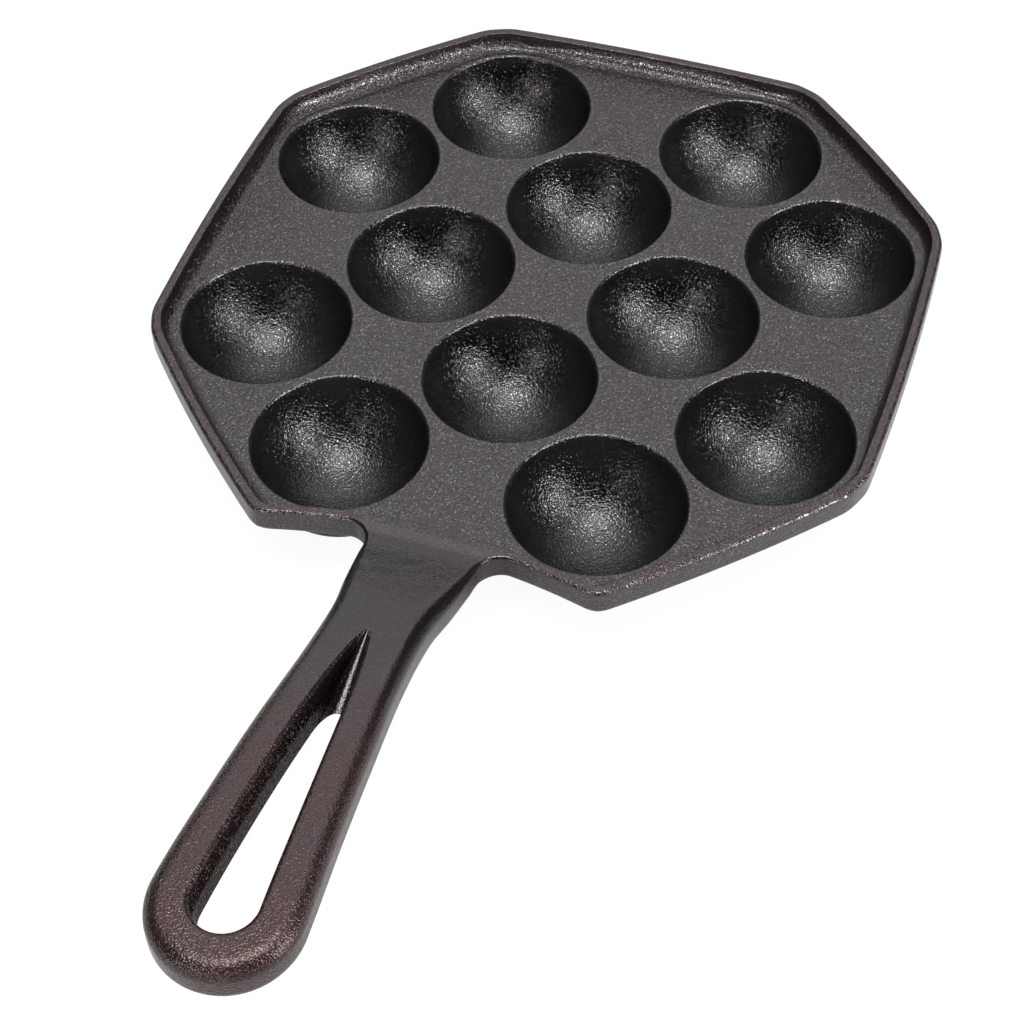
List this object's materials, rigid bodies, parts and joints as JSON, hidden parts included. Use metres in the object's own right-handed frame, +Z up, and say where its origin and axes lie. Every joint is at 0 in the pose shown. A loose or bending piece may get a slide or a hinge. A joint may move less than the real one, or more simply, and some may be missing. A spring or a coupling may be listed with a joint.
{
  "type": "cast iron takoyaki pan",
  "caption": "Octagonal cast-iron griddle pan with a grid of half-round batter cups, a raised rim and one rising cast-in handle with a tear-drop hanging slot.",
  "frame": {"origin": "centre of the overall box, on the surface that the pan stands on", "axes": "+Z up, the way the cups open; the handle points along -Y; +X to the right seen from the handle's end"},
  "size_m": [0.1826, 0.3062, 0.0472],
  "materials": {
    "griddle_iron": "seasoned, matt, fine sand-cast grain",
    "cup_iron": "seasoned, near black, pebbled, half gloss",
    "handle_iron": "seasoned, matt, fine pebbled grain"
  },
  "bodies": {
    "root": {"griddle_plate": "griddle_iron", "rim": "griddle_iron", "handle": "handle_iron", "cup_01": "cup_iron", "cup_02": "cup_iron", "cup_03": "cup_iron", "cup_04": "cup_iron", "cup_05": "cup_iron", "cup_06": "cup_iron", "cup_07": "cup_iron", "cup_08": "cup_iron", "cup_09": "cup_iron", "cup_10": "cup_iron", "cup_11": "cup_iron", "cup_12": "cup_iron"}
  },
  "joints": []
}
